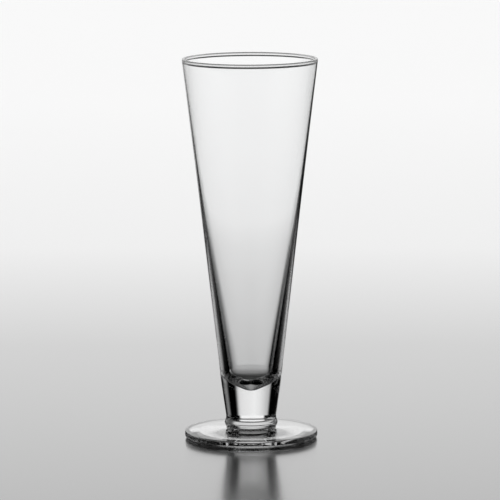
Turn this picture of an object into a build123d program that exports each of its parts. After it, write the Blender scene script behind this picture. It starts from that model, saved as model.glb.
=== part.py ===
"""A footed pilsner glass: a tall flute on a short solid stem, a collar and a round foot.

Sizes are in millimetres and +Z is up. The origin is the middle of the foot's resting ring,
on the table. The four pieces of glass are fused face to face, so none of them moves.
"""
import os
from math import cos, radians, sin, tan

from build123d import *

# Foot: a pressed disc with a low boss that the collar is fused to
foot_diameter = 73.0
foot_thickness = 4.2  # at the shoulder of its round edge
foot_edge_height = 1.8  # the widest line, above the table
foot_undercut = 3.4  # from the widest line in to the resting ring
foot_shoulder = 0.3  # from the widest line in to the top
foot_crown = 1.4  # rise of the top from its edge to the boss
foot_hollow = 0.6  # depth of the hollow underneath
rest_width = 4.6
boss_diameter = 27.4
boss_rise = 1.4

# Collar: the bead between foot and stem, round below and flaring smoothly into the stem above
collar_diameter = 29.2
collar_height = 4.4
collar_edge_height = 1.6  # the widest line, above the boss

# Stem: solid, with a short straight neck, then widening upwards
stem_base_diameter = 27.6
neck_length = 1.2
stem_length = 20.6

# Bowl: a flute whose wall thickens towards its floor
bowl_height = 178.0  # from the stem's top to the rim
shoulder_diameter = 33.2  # where the bowl meets the stem
rim_diameter = 74.3
bow = 0.35  # how far the outside curves in, half way up
lip_bead = 1.6  # thickness of the fire-polished lip
lip_round = 1.4  # height of its rounded top
lip_flank = 0.9  # height over which it narrows to the wall
lip_wall = 0.8  # wall just below the lip
knee_height = 100.0  # above the shoulder, where the wall begins to thicken
knee_wall = 1.5
knee_round = 2000.0
base_wall = 5.6  # wall at the shoulder
floor_thickness = 3.8  # under the cavity's lowest point
floor_slope = 30.0  # degrees, of the cavity's floor towards its middle
floor_round = 10.5
floor_tip = 4.6  # radius of the rounding in the middle
dome_depth = 8.0  # of the bowl's rounded bottom, below the shoulder
seat_width = 2.4  # flat ring round that bottom, on the stem's top

# Heights where one piece is fused to the next
crown_top = foot_thickness + foot_crown
boss_top = crown_top + boss_rise
collar_top = boss_top + collar_height
shoulder_top = collar_top + stem_length
rim_top = shoulder_top + bowl_height

# Radii and heights shared by the pieces that meet there
boss_radius = boss_diameter / 2
stem_base_radius = stem_base_diameter / 2
shoulder_radius = shoulder_diameter / 2
seat_radius = shoulder_radius - seat_width
dome_bottom = shoulder_top - dome_depth

os.makedirs("parts", exist_ok=True)

# Foot
foot_radius = foot_diameter / 2
top_edge_radius = foot_radius - foot_shoulder
rest_outer = foot_radius - foot_undercut
rest_inner = rest_outer - rest_width
edge_rise = foot_thickness - foot_edge_height

with BuildPart() as foot:
    with BuildSketch(Plane.XZ):
        with BuildLine():
            TangentArc((0, foot_hollow), (rest_inner, 0), tangent=(1, 0))
            Line((rest_inner, 0), (rest_outer, 0))
            EllipticalCenterArc(
                (rest_outer, foot_edge_height), foot_undercut, foot_edge_height, -90, arc_size=90
            )
            EllipticalCenterArc(
                (top_edge_radius, foot_edge_height), foot_shoulder, edge_rise, 0, arc_size=90
            )
            Line((top_edge_radius, foot_thickness), (boss_radius, crown_top))
            Line((boss_radius, crown_top), (boss_radius, boss_top))
            Line((boss_radius, boss_top), (0, boss_top))
            Line((0, boss_top), (0, foot_hollow))
        make_face()
    revolve(axis=Axis.Z)

foot.part.label = "foot"
export_step(foot.part, "parts/foot.step")

# Collar
collar_radius = collar_diameter / 2
collar_edge = boss_top + collar_edge_height
flare_pull = (collar_top - collar_edge) / 3

with BuildPart() as collar:
    with BuildSketch(Plane.XZ):
        with BuildLine():
            Line((0, boss_top), (boss_radius, boss_top))
            EllipticalCenterArc(
                (boss_radius, collar_edge), collar_radius - boss_radius, collar_edge_height, -90, arc_size=90
            )
            Bezier(
                (collar_radius, collar_edge),
                (collar_radius, collar_edge + flare_pull),
                (stem_base_radius, collar_top - flare_pull),
                (stem_base_radius, collar_top),
            )
            Line((stem_base_radius, collar_top), (0, collar_top))
            Line((0, collar_top), (0, boss_top))
        make_face()
    revolve(axis=Axis.Z)

collar.part.label = "collar"
export_step(collar.part, "parts/collar.step")

# Stem, with the dish that the bowl's rounded bottom sits in
neck_end = (stem_base_radius, collar_top + neck_length)

with BuildPart() as stem:
    with BuildSketch(Plane.XZ):
        with BuildLine():
            Line((0, collar_top), (stem_base_radius, collar_top))
            Line((stem_base_radius, collar_top), neck_end)
            Line(neck_end, (shoulder_radius, shoulder_top))
            Line((shoulder_radius, shoulder_top), (seat_radius, shoulder_top))
            TangentArc((0, dome_bottom), (seat_radius, shoulder_top), tangent=(1, 0))
            Line((0, dome_bottom), (0, collar_top))
        make_face()
    revolve(axis=Axis.Z)

stem.part.label = "stem"
export_step(stem.part, "parts/stem.step")

# Bowl
# The lip is a bead with a rounded top. It is flush outside and proud of the wall inside.
rim_radius = rim_diameter / 2
bead_radius = lip_bead / 2
bead_middle = rim_top - lip_round
lip_outer = (rim_radius, bead_middle)
lip_middle = (rim_radius - bead_radius, bead_middle)
lip_proud = (rim_radius - lip_bead, bead_middle)
lip_inner = (rim_radius - lip_wall, bead_middle - lip_flank)

# The outside is a cone that flares a little towards the lip.
outer_middle = ((shoulder_radius + rim_radius) / 2 - bow, (shoulder_top + bead_middle) / 2)

# The inside follows the outside down to the knee, then closes in.
knee_share = knee_height / (bead_middle - shoulder_top)
knee_bow = 4 * bow * knee_share * (1 - knee_share)
knee_outer = shoulder_radius + (rim_radius - shoulder_radius) * knee_share - knee_bow
knee = (knee_outer - knee_wall, shoulder_top + knee_height)
base_inner = shoulder_radius - base_wall
lower_slope = (knee[0] - base_inner) / knee_height

# The cavity's floor slopes down to a rounded tip. Its corner lies on the line of the lower wall.
floor_top = dome_bottom + floor_thickness
tilt = radians(floor_slope)
tip_edge = (floor_tip * sin(tilt), floor_top + floor_tip * (1 - cos(tilt)))
corner_below = base_inner - lower_slope * (shoulder_top - tip_edge[1])
corner_reach = (corner_below - tip_edge[0]) / (1 - lower_slope * tan(tilt))
corner = (tip_edge[0] + corner_reach, tip_edge[1] + corner_reach * tan(tilt))

with BuildPart() as bowl:
    with BuildSketch(Plane.XZ):
        with BuildLine():
            TangentArc((0, dome_bottom), (seat_radius, shoulder_top), tangent=(1, 0))
            Line((seat_radius, shoulder_top), (shoulder_radius, shoulder_top))
            ThreePointArc((shoulder_radius, shoulder_top), outer_middle, lip_outer)
            EllipticalCenterArc(lip_middle, bead_radius, lip_round, 0, arc_size=180)
            Line(lip_proud, lip_inner)
            FilletPolyline(lip_inner, knee, corner, tip_edge, radius=[knee_round, floor_round])
            TangentArc((0, floor_top), tip_edge, tangent=(1, 0))
            Line((0, floor_top), (0, dome_bottom))
        make_face()
    revolve(axis=Axis.Z)

bowl.part.label = "bowl"
export_step(bowl.part, "parts/bowl.step")
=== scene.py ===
"""Looks of a footed pilsner glass: clear fused glass on a pale glossy studio floor."""
from math import atan2, cos, degrees, hypot, pi, radians, sin, tan

import bpy
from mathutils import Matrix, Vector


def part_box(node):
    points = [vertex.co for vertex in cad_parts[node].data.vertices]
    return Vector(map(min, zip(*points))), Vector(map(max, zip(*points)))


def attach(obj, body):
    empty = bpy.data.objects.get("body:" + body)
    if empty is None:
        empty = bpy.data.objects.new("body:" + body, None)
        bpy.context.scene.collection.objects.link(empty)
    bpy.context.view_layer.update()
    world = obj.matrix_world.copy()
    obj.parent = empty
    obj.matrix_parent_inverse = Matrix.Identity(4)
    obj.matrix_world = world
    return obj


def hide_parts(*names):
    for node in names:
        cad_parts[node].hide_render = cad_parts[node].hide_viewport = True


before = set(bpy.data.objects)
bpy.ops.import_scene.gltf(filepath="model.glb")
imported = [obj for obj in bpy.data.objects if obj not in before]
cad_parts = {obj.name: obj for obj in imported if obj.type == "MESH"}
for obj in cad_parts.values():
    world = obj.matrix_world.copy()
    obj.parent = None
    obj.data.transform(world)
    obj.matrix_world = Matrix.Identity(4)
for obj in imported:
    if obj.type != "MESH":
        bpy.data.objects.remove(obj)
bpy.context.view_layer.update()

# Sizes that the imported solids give, in metres
bowl_low, bowl_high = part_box("bowl")
stem_low, stem_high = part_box("stem")
collar_low, collar_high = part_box("collar")
foot_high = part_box("foot")[1]

dome_bottom = bowl_low.z
rim_top = bowl_high.z
rim_radius = bowl_high.x
collar_top = stem_low.z
shoulder_top = stem_high.z
shoulder_radius = stem_high.x
collar_radius = collar_high.x
boss_top = collar_low.z
foot_radius = foot_high.x

# Sizes inside those boxes, the same as in the solids
foot_thickness = 0.0042  # at the shoulder of its round edge
foot_edge_height = 0.0018  # the widest line, above the table
foot_undercut = 0.0034  # from the widest line in to the resting ring
foot_shoulder = 0.0003  # from the widest line in to the top
foot_crown = 0.0014  # rise of the top from its edge to the boss
foot_hollow = 0.0006  # depth of the hollow underneath
rest_width = 0.0046
boss_radius = 0.0137
collar_edge_height = 0.0016  # the widest line, above the boss
stem_base_radius = 0.0138
neck_length = 0.0012
bow = 0.00035  # how far the bowl's outside curves in, half way up
lip_bead = 0.0016  # thickness of the lip
lip_round = 0.0014  # height of its rounded top
lip_flank = 0.0009  # height over which it narrows to the wall
lip_wall = 0.0008  # wall just below the lip
knee_height = 0.1000  # above the shoulder, where the wall begins to thicken
knee_wall = 0.0015
knee_round = 2.0000
base_wall = 0.0056  # wall at the shoulder
floor_thickness = 0.0038  # under the cavity's lowest point
floor_slope = 30.0  # degrees, of the cavity's floor towards its middle
floor_round = 0.0105
floor_tip = 0.0046  # radius of the rounding in the middle
seat_width = 0.0024  # flat ring round the bowl's rounded bottom

# The lip's top: 2 is half an ellipse, as in the solid, and more is flatter
lip_fullness = 3.0

SEGMENTS = 256
GLASS, JOINT = 0, 1


# Profiles: a run is a list of (point, outward normal) in the half-plane of radius and height

def straight(start, end, steps=1):
    """A straight run. The glass lies to the left of its direction."""
    along = (end[0] - start[0], end[1] - start[1])
    length = hypot(*along)
    normal = (along[1] / length, -along[0] / length)
    run = []
    for i in range(steps + 1):
        share = i / steps
        point = (start[0] + along[0] * share, start[1] + along[1] * share)
        run.append((point, normal))
    return run


def rounded(centre, radii, start, end, steps):
    """A run along an ellipse, from one angle in degrees to another."""
    side = 1 if end > start else -1
    run = []
    for i in range(steps + 1):
        angle = radians(start + (end - start) * i / steps)
        point = (centre[0] + radii[0] * cos(angle), centre[1] + radii[1] * sin(angle))
        slope = (side * cos(angle) / radii[0], side * sin(angle) / radii[1])
        length = hypot(*slope)
        run.append((point, (slope[0] / length, slope[1] / length)))
    return run


def full_round(centre, radii, fullness, steps):
    """A run over a rounded top, from the outside to the inside."""
    run = []
    for i in range(steps + 1):
        angle = pi * i / steps
        side = 1 if 2 * i < steps else -1
        across = abs(cos(angle)) ** (2 / fullness)
        up = sin(angle) ** (2 / fullness) if 0 < i < steps else 0
        point = (centre[0] + side * radii[0] * across, centre[1] + radii[1] * up)
        slope = (side * across ** (fullness - 1) / radii[0], up ** (fullness - 1) / radii[1])
        length = hypot(*slope)
        run.append((point, (slope[0] / length, slope[1] / length)))
    return run


def flare(start, end, steps):
    """A smooth run from one radius to another, upright at both ends."""
    reach, rise = end[0] - start[0], end[1] - start[1]
    run = []
    for i in range(steps + 1):
        share = i / steps
        point = (start[0] + reach * share**2 * (3 - 2 * share), start[1] + rise * share)
        slope = 6 * reach * share * (1 - share) / rise
        length = hypot(1, slope)
        run.append((point, (1 / length, -slope / length)))
    return run


def arc_through(start, middle, end, steps):
    """A run along the circle through three points."""
    ax, ay = start[0] - middle[0], start[1] - middle[1]
    bx, by = end[0] - middle[0], end[1] - middle[1]
    cross = 2 * (ax * by - ay * bx)
    ux = (by * (ax * ax + ay * ay) - ay * (bx * bx + by * by)) / cross
    uy = (ax * (bx * bx + by * by) - bx * (ax * ax + ay * ay)) / cross
    centre = (middle[0] + ux, middle[1] + uy)
    radius = hypot(ux, uy)
    first = degrees(atan2(start[1] - centre[1], start[0] - centre[0]))
    last = degrees(atan2(end[1] - centre[1], end[0] - centre[0]))
    if cross < 0 and last < first:
        last += 360
    if cross > 0 and last > first:
        last -= 360
    return rounded(centre, (radius, radius), first, last, steps)


def cap(rim, pole, steps):
    """A spherical run from the axis at height pole out to the point rim, level at the axis."""
    rise = rim[1] - pole
    radius = (rim[0] ** 2 + rise**2) / (2 * abs(rise))
    middle = pole + radius if rise > 0 else pole - radius
    start = -90 if rise > 0 else 90
    end = degrees(atan2(rim[1] - middle, rim[0]))
    return rounded((0, middle), (radius, radius), start, end, steps)


def bent(before, corner, after, radius, steps):
    """A fillet run between two straight stretches that meet at corner, and its two ends."""
    ax, ay = before[0] - corner[0], before[1] - corner[1]
    bx, by = after[0] - corner[0], after[1] - corner[1]
    la, lb = hypot(ax, ay), hypot(bx, by)
    ax, ay, bx, by = ax / la, ay / la, bx / lb, by / lb
    half = atan2(abs(ax * by - ay * bx), ax * bx + ay * by) / 2
    reach = radius / tan(half)
    start = (corner[0] + ax * reach, corner[1] + ay * reach)
    end = (corner[0] + bx * reach, corner[1] + by * reach)
    toward = hypot(ax + bx, ay + by)
    depth = radius / sin(half) - radius
    middle = (corner[0] + (ax + bx) / toward * depth, corner[1] + (ay + by) / toward * depth)
    return arc_through(start, middle, end, steps), start, end


def backwards(run):
    """The same run from its end, for the piece on the other side of it."""
    return [(point, (-normal[0], -normal[1])) for point, normal in reversed(run)]


def lathe(name, runs):
    """A closed mesh turned from runs of (material index, run), with the runs' own normals."""
    points, rings, faces, surfaces, normals = [], {}, [], [], []

    def ring(point):
        key = (round(point[0], 8), round(point[1], 8))
        if key not in rings:
            count = 1 if key[0] == 0 else SEGMENTS
            rings[key] = range(len(points), len(points) + count)
            for j in range(count):
                turn = 2 * pi * j / SEGMENTS
                points.append((point[0] * cos(turn), point[0] * sin(turn), point[1]))
        return rings[key]

    def facing(normal, j):
        turn = 2 * pi * j / SEGMENTS
        return (normal[0] * cos(turn), normal[0] * sin(turn), normal[1])

    for surface, run in runs:
        for (low, low_normal), (high, high_normal) in zip(run, run[1:]):
            below, above = ring(low), ring(high)
            for j in range(SEGMENTS):
                k = j + 1
                corners = []
                if len(below) > 1:
                    corners += [(below[j], low_normal, j), (below[k % SEGMENTS], low_normal, k)]
                else:
                    corners += [(below[0], low_normal, j)]
                if len(above) > 1:
                    corners += [(above[k % SEGMENTS], high_normal, k), (above[j], high_normal, j)]
                else:
                    corners += [(above[0], high_normal, j)]
                faces.append([corner[0] for corner in corners])
                normals += [facing(normal, turn) for _, normal, turn in corners]
                surfaces.append(surface)

    mesh = bpy.data.meshes.new(name)
    mesh.from_pydata(points, [], faces)
    mesh.shade_smooth()
    mesh.polygons.foreach_set("material_index", surfaces)
    mesh.normals_split_custom_set(normals)
    mesh.materials.append(clear_glass)
    mesh.materials.append(fused_joint)
    piece = bpy.data.objects.new(name, mesh)
    bpy.context.collection.objects.link(piece)
    return piece


# Materials

def node_tree(material):
    """The material's empty node tree."""
    material.use_nodes = True
    tree = material.node_tree
    tree.nodes.clear()
    return tree


def make_clear_glass():
    """Colourless soda-lime glass, fire-polished, with the faint waves of pressed and blown glass."""
    material = bpy.data.materials.new("clear_glass")
    tree = node_tree(material)
    out = tree.nodes.new("ShaderNodeOutputMaterial")
    shader = tree.nodes.new("ShaderNodeBsdfPrincipled")
    shader.inputs["Base Color"].default_value = (0.986, 0.988, 0.989, 1)
    shader.inputs["Transmission Weight"].default_value = 1.0
    shader.inputs["IOR"].default_value = 1.52
    place = tree.nodes.new("ShaderNodeTexCoord")
    waves = tree.nodes.new("ShaderNodeTexNoise")
    waves.inputs["Scale"].default_value = 35
    waves.inputs["Detail"].default_value = 1
    bump = tree.nodes.new("ShaderNodeBump")
    bump.inputs["Strength"].default_value = 0.05
    bump.inputs["Distance"].default_value = 0.001
    haze = tree.nodes.new("ShaderNodeTexNoise")
    haze.inputs["Scale"].default_value = 160
    haze.inputs["Detail"].default_value = 3
    sheen = tree.nodes.new("ShaderNodeMapRange")
    sheen.inputs["From Min"].default_value = 0.4
    sheen.inputs["From Max"].default_value = 0.7
    sheen.inputs["To Max"].default_value = 0.02
    tree.links.new(place.outputs["Object"], waves.inputs["Vector"])
    tree.links.new(waves.outputs["Fac"], bump.inputs["Height"])
    tree.links.new(bump.outputs["Normal"], shader.inputs["Normal"])
    tree.links.new(place.outputs["Object"], haze.inputs["Vector"])
    tree.links.new(haze.outputs["Fac"], sheen.inputs["Value"])
    tree.links.new(sheen.outputs["Result"], shader.inputs["Roughness"])
    tree.links.new(shader.outputs["BSDF"], out.inputs["Surface"])
    return material


def make_fused_joint():
    """Inside the glass, where two pieces are fused, light goes straight on."""
    material = bpy.data.materials.new("fused_joint")
    tree = node_tree(material)
    out = tree.nodes.new("ShaderNodeOutputMaterial")
    through = tree.nodes.new("ShaderNodeBsdfTransparent")
    tree.links.new(through.outputs["BSDF"], out.inputs["Surface"])
    return material


clear_glass = make_clear_glass()
fused_joint = make_fused_joint()


# Pieces

seat_radius = shoulder_radius - seat_width
dome = cap((seat_radius, shoulder_top), dome_bottom, steps=40)


def make_bowl():
    """The flute, from its rounded bottom up the outside, over the lip and down to the cavity's floor."""
    bead = lip_bead / 2
    bead_middle = rim_top - lip_round
    lip_outer = (rim_radius, bead_middle)
    lip_proud = (rim_radius - lip_bead, bead_middle)
    lip_inner = (rim_radius - lip_wall, bead_middle - lip_flank)
    outer_middle = ((shoulder_radius + rim_radius) / 2 - bow, (shoulder_top + bead_middle) / 2)

    # The inside follows the outside down to the knee, then closes in.
    share = knee_height / (bead_middle - shoulder_top)
    knee_bow = 4 * bow * share * (1 - share)
    knee_outer = shoulder_radius + (rim_radius - shoulder_radius) * share - knee_bow
    knee = (knee_outer - knee_wall, shoulder_top + knee_height)
    base_inner = shoulder_radius - base_wall
    slope = (knee[0] - base_inner) / knee_height

    # The cavity's floor slopes down to a rounded tip. Its corner lies on the line of the lower wall.
    floor_top = dome_bottom + floor_thickness
    tilt = radians(floor_slope)
    tip_edge = (floor_tip * sin(tilt), floor_top + floor_tip * (1 - cos(tilt)))
    rise = shoulder_top - tip_edge[1]
    reach = (base_inner - slope * rise - tip_edge[0]) / (1 - slope * tan(tilt))
    corner = (tip_edge[0] + reach, tip_edge[1] + reach * tan(tilt))

    knee_bend, knee_start, knee_end = bent(lip_inner, knee, corner, knee_round, steps=24)
    floor_bend, floor_start, floor_end = bent(knee, corner, tip_edge, floor_round, steps=32)
    return lathe("glass_bowl", [
        (JOINT, dome),
        (JOINT, straight((seat_radius, shoulder_top), (shoulder_radius, shoulder_top))),
        (GLASS, arc_through((shoulder_radius, shoulder_top), outer_middle, lip_outer, steps=40)),
        (GLASS, full_round((rim_radius - bead, bead_middle), (bead, lip_round), lip_fullness, steps=48)),
        (GLASS, straight(lip_proud, lip_inner, steps=4)),
        (GLASS, straight(lip_inner, knee_start, steps=16)),
        (GLASS, knee_bend),
        (GLASS, straight(knee_end, floor_start, steps=16)),
        (GLASS, floor_bend),
        (GLASS, straight(floor_end, tip_edge, steps=4)),
        (GLASS, backwards(cap(tip_edge, floor_top, steps=16))),
    ])


def make_stem():
    """The solid stem, with a short straight neck and the dish that the bowl sits in."""
    neck_top = (stem_base_radius, collar_top + neck_length)
    return lathe("glass_stem", [
        (JOINT, straight((0, collar_top), (stem_base_radius, collar_top))),
        (GLASS, straight((stem_base_radius, collar_top), neck_top, steps=2)),
        (GLASS, straight(neck_top, (shoulder_radius, shoulder_top), steps=8)),
        (JOINT, straight((shoulder_radius, shoulder_top), (seat_radius, shoulder_top))),
        (JOINT, backwards(dome)),
    ])


def make_collar():
    """The bead, round below and flaring into the stem above."""
    edge = boss_top + collar_edge_height
    bulge = collar_radius - boss_radius
    return lathe("glass_collar", [
        (JOINT, straight((0, boss_top), (boss_radius, boss_top))),
        (GLASS, rounded((boss_radius, edge), (bulge, collar_edge_height), start=-90, end=0, steps=24)),
        (GLASS, flare((collar_radius, edge), (stem_base_radius, collar_top), steps=32)),
        (JOINT, straight((stem_base_radius, collar_top), (0, collar_top))),
    ])


def make_foot():
    """The disc, from the hollow underneath round its edge to the boss on top."""
    top_edge = foot_radius - foot_shoulder
    rest_outer = foot_radius - foot_undercut
    rest_inner = rest_outer - rest_width
    edge_rise = foot_thickness - foot_edge_height
    crown_top = foot_thickness + foot_crown
    under_edge = (foot_undercut, foot_edge_height)
    return lathe("glass_foot", [
        (GLASS, cap((rest_inner, 0), foot_hollow, steps=24)),
        (GLASS, straight((rest_inner, 0), (rest_outer, 0))),
        (GLASS, rounded((rest_outer, foot_edge_height), under_edge, start=-90, end=0, steps=24)),
        (GLASS, rounded((top_edge, foot_edge_height), (foot_shoulder, edge_rise), start=0, end=90, steps=24)),
        (GLASS, straight((top_edge, foot_thickness), (boss_radius, crown_top), steps=8)),
        (GLASS, straight((boss_radius, crown_top), (boss_radius, boss_top), steps=2)),
        (JOINT, straight((boss_radius, boss_top), (0, boss_top))),
    ])


for node, piece in (
    ("bowl", make_bowl()),
    ("stem", make_stem()),
    ("collar", make_collar()),
    ("foot", make_foot()),
):
    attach(piece, "root")
    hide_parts(node)


# Stage
# Bearings run in degrees from +Y towards +X, heights and dips in degrees above and below the horizon.
# Brightness is given by stops of (place, brightness). A change has the places where it begins and ends.

FULL_TURN = (-180, 180)
HALF_TURN = (0, 180)
ALL_HEIGHTS = (-90, 90)
UPPER_HEIGHTS = (0, 90)

# The backdrop by height
backdrop_heights = (0, 60)
backdrop = ((0, 0.985), (25, 0.92), (60, 0.50))

# The floor, just under the foot, and how much of the backdrop it mirrors by the angle of the look
floor_radius = 9.0
floor_sides = 96
floor_gap = 0.00002
floor_colour = (0.60, 0.60, 0.61, 1)
polish_roughness = 0.17
polish_looks = (0, 20)
polish_share = ((0, 1.0), (6.1, 0.98), (8.2, 0.905), (9.6, 0.69), (12.0, 0.535), (20.0, 0.45))
mirror_change = (16, 12.5)

# What the glass refracts: a lit screen behind it with dark flags on both sides, by height and by bearing.
# The flags stand differently for level light, for the table further back and for the table close by.
screen = (
    (-45, 0.04), (-32, 0.14), (-24, 0.28), (-19, 0.45), (-16, 0.49), (-13, 0.46), (-12.5, 0.59),
    (-11.7, 0.61), (-9.9, 0.87), (-7.5, 0.92), (-6, 0.98), (0, 1.0), (3, 0.88), (6, 0.65), (10, 0.40),
    (16, 0.22), (24, 0.11), (60, 0.02),
)
screen_lean = 0.115  # degrees of height per degree of bearing
lean_limit = 25  # the bearing where the lean ends
level_flags = (
    (-33, 0), (-28, 0.56), (-15, 0.80), (-5, 0.92), (16, 0.79), (19, 0.68), (22.5, 0.16), (24.5, 0),
    (40, 0), (48, 0.3), (56, 0.27), (65, 0),
)
far_flags = ((-24, 0), (-21, 0.85), (-18, 1), (14, 1), (17, 0.85), (20, 0))
near_flags = (
    (-27, 0), (-19, 0.45), (-15, 0.66), (-10, 0.92), (-6, 1), (9, 1), (13, 0.82), (15, 0.66), (19, 0.06),
    (21, 0),
)
level_to_far = (3, 5)
far_to_near = (13, 14)

# Screens for the other sides, and the light from steeply below on one of them
side_screens = ((-112, 0), (-107, 1), (-77, 1), (-72, 0), (110, 0), (114, 1), (156, 1), (160, 0))
side_light = ((-24, 0.6), (-10, 0.62), (-5, 0.88), (0, 0.93), (8, 0.9), (20, 0.5))
side_change = (30, 10)
steep_screens = ((-125, 0), (-122, 1), (-36, 1), (-30, 0))
steep_change = (19, 22)

# What it reflects: painted light and shade on the table, lit along a strip behind the glass and again outside
# a painted dark ring round it.
# Both go by the distance from the glass in metres. The ring is narrow in front and opens out to the back.
near_strip = (
    (-35, 0), (-30, 0.15), (-20, 0.64), (-5, 1), (3, 1), (18, 0.66), (22, 0.36), (28, 0.08), (31, 0),
)
far_strip = ((-24, 0), (-20, 0.35), (-15, 0.8), (-10, 1), (0, 1), (5, 0.7), (10, 0.32), (15, 0.08), (18, 0))
strip_change = (0.35, 0.6)
strip_span = (0, 1)
strip_reaches = (
    (0, 0.08), (0.011, 0.3), (0.018, 0.3), (0.021, 0.03), (0.1, 0.09), (0.13, 0.13), (0.15, 0.36),
    (0.25, 0.7), (0.38, 0.72), (0.42, 0.3), (0.55, 0.28), (0.86, 0.8),
)
ring_change = (0.115, 0.165)
ring_power = 1.5
ring_span = (0, 6)
ring_reaches = ((0.13, 0.5), (0.25, 0.55), (0.42, 0.72), (0.62, 0.74), (0.9, 0.5), (2.5, 0.45), (5, 0.35))

# Above the table it reflects the room beside and in front of it, and the screen behind it between its flags
around_bearings = ((38, 0), (48, 0.65), (130, 0.72), (180, 0.6))
around_heights = ((0, 0.7), (2, 0.85), (6, 1), (7.5, 0.85), (9, 0.3), (12, 0.1), (16, 0.04), (20, 0.012))
upward = ((0, 0.5), (8, 0.5), (14, 0.75), (21, 0.85), (24, 0.55), (28, 0.35), (32, 0.05), (60, 0.01))


def ramp(tree, value, span, stops):
    """A grey ramp over a span of values, through stops of (place, brightness)."""
    low, high = span
    spread = tree.nodes.new("ShaderNodeMapRange")
    spread.inputs["From Min"].default_value = low
    spread.inputs["From Max"].default_value = high
    tree.links.new(value, spread.inputs["Value"])
    node = tree.nodes.new("ShaderNodeValToRGB")
    elements = node.color_ramp.elements
    while len(elements) < len(stops):
        elements.new(0.5)
    for element, (place, grey) in zip(elements, stops):
        element.position = (place - low) / (high - low)
        element.color = (grey, grey, grey, 1)
    tree.links.new(spread.outputs["Result"], node.inputs["Fac"])
    return node.outputs["Color"]


def change(tree, value, span):
    """A smooth step from 0 at the span's start to 1 at its end."""
    node = tree.nodes.new("ShaderNodeMapRange")
    node.interpolation_type = "SMOOTHSTEP"
    node.inputs["From Min"].default_value = span[0]
    node.inputs["From Max"].default_value = span[1]
    tree.links.new(value, node.inputs["Value"])
    return node.outputs["Result"]


def between(tree, share, first, second):
    """The first value where share is 0, the second where it is 1."""
    node = tree.nodes.new("ShaderNodeMix")
    tree.links.new(share, node.inputs["Factor"])
    tree.links.new(first, node.inputs["A"])
    tree.links.new(second, node.inputs["B"])
    return node.outputs["Result"]


def mixed(tree, share, first, second):
    """The first shader where share is 0, the second where it is 1."""
    node = tree.nodes.new("ShaderNodeMixShader")
    tree.links.new(share, node.inputs["Fac"])
    tree.links.new(first, node.inputs[1])
    tree.links.new(second, node.inputs[2])
    return node.outputs["Shader"]


def math_node(tree, operation, first, second=None):
    """One step of arithmetic on numbers or sockets."""
    node = tree.nodes.new("ShaderNodeMath")
    node.operation = operation
    for socket, value in zip(node.inputs, (first, second)):
        if value is None:
            continue
        if isinstance(value, (int, float)):
            socket.default_value = value
        else:
            tree.links.new(value, socket)
    return node.outputs["Value"]


def times(tree, first, second):
    """The product of two values."""
    return math_node(tree, "MULTIPLY", first, second)


def larger(tree, first, second):
    """The larger of two values."""
    return math_node(tree, "MAXIMUM", first, second)


def at_least_once(tree, depth):
    """1 where a light path's depth is 1 or more, otherwise 0."""
    return math_node(tree, "MINIMUM", depth, 1)


def painted_table_light(tree):
    """Painted light on the table by its place: a lit strip behind the glass, and light outside a painted dark
    ring.
    """
    place = tree.nodes.new("ShaderNodeNewGeometry")
    axes = tree.nodes.new("ShaderNodeSeparateXYZ")
    tree.links.new(place.outputs["Position"], axes.inputs["Vector"])
    length = tree.nodes.new("ShaderNodeVectorMath")
    length.operation = "LENGTH"
    tree.links.new(place.outputs["Position"], length.inputs[0])
    distance = length.outputs["Value"]
    angle = math_node(tree, "ARCTAN2", axes.outputs["X"], axes.outputs["Y"])
    bearing = math_node(tree, "DEGREES", angle)

    half_turn = math_node(tree, "SINE", times(tree, math_node(tree, "ABSOLUTE", angle), 0.5))
    reach = times(tree, distance, math_node(tree, "POWER", half_turn, ring_power))
    outside = change(tree, reach, ring_change)
    outside = times(tree, outside, ramp(tree, distance, ring_span, ring_reaches))

    near = ramp(tree, bearing, FULL_TURN, near_strip)
    far = ramp(tree, bearing, FULL_TURN, far_strip)
    strip = between(tree, change(tree, distance, strip_change), near, far)
    strip = times(tree, strip, ramp(tree, distance, strip_span, strip_reaches))
    return larger(tree, outside, strip)


def make_floor_material():
    """A pale surface that mirrors at a glancing angle, as polished acrylic does, and glows with painted light
    in the glass's reflections.
    """
    material = bpy.data.materials.new("studio_floor")
    material.cycles.emission_sampling = "NONE"
    tree = node_tree(material)
    out = tree.nodes.new("ShaderNodeOutputMaterial")
    pale = tree.nodes.new("ShaderNodeBsdfDiffuse")
    pale.inputs["Color"].default_value = floor_colour
    polish = tree.nodes.new("ShaderNodeBsdfAnisotropic")
    polish.inputs["Roughness"].default_value = polish_roughness
    glance = tree.nodes.new("ShaderNodeLayerWeight")
    glance.inputs["Blend"].default_value = 0.5
    look = math_node(tree, "ARCSINE", math_node(tree, "SUBTRACT", 1, glance.outputs["Facing"]))
    look = math_node(tree, "DEGREES", look)
    tree.links.new(ramp(tree, look, polish_looks, polish_share), polish.inputs["Color"])
    plain = mixed(tree, change(tree, look, mirror_change), pale.outputs["BSDF"], polish.outputs["BSDF"])

    # Seen through the glass, the floor gives way to the world below the horizon, which holds the flags.
    # Seen by a reflection, it glows with painted light, though it is no lamp: its lit strip and the light
    # outside the painted dark ring.
    path = tree.nodes.new("ShaderNodeLightPath")
    clear = tree.nodes.new("ShaderNodeBsdfTransparent")
    # Painted light: an emission that paints the lit strip and the dark ring of shade onto the table
    lit = tree.nodes.new("ShaderNodeEmission")
    tree.links.new(painted_table_light(tree), lit.inputs["Color"])
    mirrored = at_least_once(tree, path.outputs["Glossy Depth"])
    beyond = mixed(tree, mirrored, clear.outputs["BSDF"], lit.outputs["Emission"])
    by_glass = larger(tree, path.outputs["Is Glossy Ray"], path.outputs["Is Transmission Ray"])
    tree.links.new(mixed(tree, by_glass, plain, beyond), out.inputs["Surface"])
    return material


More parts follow.
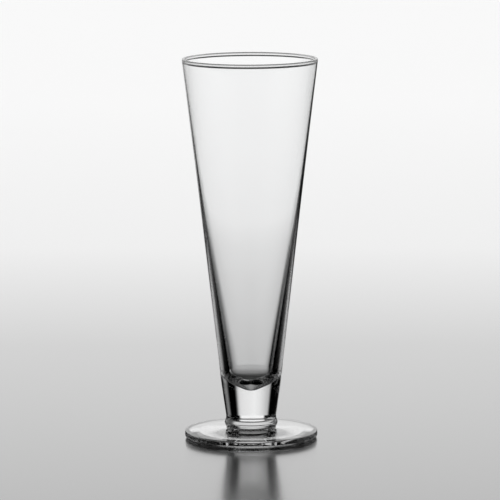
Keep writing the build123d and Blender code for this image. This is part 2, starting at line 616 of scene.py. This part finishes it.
def make_floor():
    """A wide disc just under the foot."""
    rim = []
    for j in range(floor_sides):
        turn = 2 * pi * j / floor_sides
        rim.append((floor_radius * cos(turn), floor_radius * sin(turn), 0))
    mesh = bpy.data.meshes.new("studio_floor")
    mesh.from_pydata(rim, [], [list(range(floor_sides))])
    mesh.materials.append(make_floor_material())
    floor = bpy.data.objects.new("studio_floor", mesh)
    bpy.context.collection.objects.link(floor)
    floor.location.z = -floor_gap


def refracted_light(tree, height, dip, bearing, turn, level):
    """Brightness that the glass refracts: the screen between its flags, and the other sides' screens."""
    far = ramp(tree, bearing, FULL_TURN, far_flags)
    near = ramp(tree, bearing, FULL_TURN, near_flags)
    flags = between(tree, change(tree, dip, level_to_far), level, far)
    flags = between(tree, change(tree, dip, far_to_near), flags, near)
    lean = times(tree, math_node(tree, "MINIMUM", turn, lean_limit), screen_lean)
    leaning = math_node(tree, "ADD", height, lean)
    behind = times(tree, flags, ramp(tree, leaning, ALL_HEIGHTS, screen))

    sides = ramp(tree, bearing, FULL_TURN, side_screens)
    sides = times(tree, sides, change(tree, dip, side_change))
    steep = ramp(tree, bearing, FULL_TURN, steep_screens)
    steep = times(tree, steep, change(tree, dip, steep_change))
    sides = times(tree, larger(tree, sides, steep), ramp(tree, height, ALL_HEIGHTS, side_light))
    return larger(tree, behind, sides)


def reflected_light(tree, height, turn, level):
    """Brightness that the glass reflects from above the table."""
    around = ramp(tree, turn, HALF_TURN, around_bearings)
    around = times(tree, around, ramp(tree, height, UPPER_HEIGHTS, around_heights))
    above = times(tree, level, ramp(tree, height, UPPER_HEIGHTS, upward))
    return larger(tree, above, around)


def make_world():
    """The studio: a plain backdrop, and the screens and flags that only show in the glass."""
    world = bpy.data.worlds.new("studio")
    bpy.context.scene.world = world
    world.use_nodes = True
    world.cycles.sampling_method = "NONE"
    tree = world.node_tree
    tree.nodes.clear()
    out = tree.nodes.new("ShaderNodeOutputWorld")
    place = tree.nodes.new("ShaderNodeTexCoord")
    axes = tree.nodes.new("ShaderNodeSeparateXYZ")
    tree.links.new(place.outputs["Generated"], axes.inputs["Vector"])
    height = math_node(tree, "DEGREES", math_node(tree, "ARCSINE", axes.outputs["Z"]))
    dip = times(tree, height, -1)
    bearing = math_node(tree, "ARCTAN2", axes.outputs["X"], axes.outputs["Y"])
    bearing = math_node(tree, "DEGREES", bearing)
    turn = math_node(tree, "ABSOLUTE", bearing)
    path = tree.nodes.new("ShaderNodeLightPath")

    level = ramp(tree, bearing, FULL_TURN, level_flags)
    refracted = refracted_light(tree, height, dip, bearing, turn, level)
    reflected = reflected_light(tree, height, turn, level)
    mirrored = at_least_once(tree, path.outputs["Glossy Depth"])
    in_glass = between(tree, mirrored, refracted, reflected)

    # Below the horizon only the camera still sees the backdrop.
    downward = math_node(tree, "GREATER_THAN", dip, 0)
    downward = math_node(tree, "SUBTRACT", downward, path.outputs["Is Camera Ray"])
    through = at_least_once(tree, path.outputs["Transmission Depth"])
    through = larger(tree, through, downward)
    grey = between(tree, through, ramp(tree, height, backdrop_heights, backdrop), in_glass)

    look = tree.nodes.new("ShaderNodeBackground")
    tree.links.new(grey, look.inputs["Color"])
    light = tree.nodes.new("ShaderNodeBackground")
    light.inputs["Color"].default_value = (1, 1, 1, 1)
    seen = larger(tree, path.outputs["Is Camera Ray"], path.outputs["Is Glossy Ray"])
    seen = larger(tree, seen, path.outputs["Is Transmission Ray"])
    shown = mixed(tree, seen, light.outputs["Background"], look.outputs["Background"])
    tree.links.new(shown, out.inputs["Surface"])


make_floor()
make_world()

# Camera, fitted to the photograph's rim and foot ellipses
camera_place = (-0.0003, -2.149, 0.4157)
camera_dip = 8.243  # degrees below the horizon
camera_roll = -0.22  # degrees about the line of sight
camera_data = bpy.data.cameras.new("camera")
camera_data.sensor_width = 36.0
camera_data.lens = 284.8
camera = bpy.data.objects.new("camera", camera_data)
bpy.context.collection.objects.link(camera)
camera.location = camera_place
camera.rotation_mode = "ZYX"
camera.rotation_euler = (radians(90 - camera_dip), 0, radians(camera_roll))

# Light crosses many faces of clear glass before it ends
glass_bounces = 48
mirror_bounces = 24
scene = bpy.context.scene
scene.camera = camera
scene.view_settings.view_transform = "Standard"
scene.cycles.max_bounces = glass_bounces
scene.cycles.transmission_bounces = glass_bounces
scene.cycles.transparent_max_bounces = glass_bounces
scene.cycles.glossy_bounces = mirror_bounces
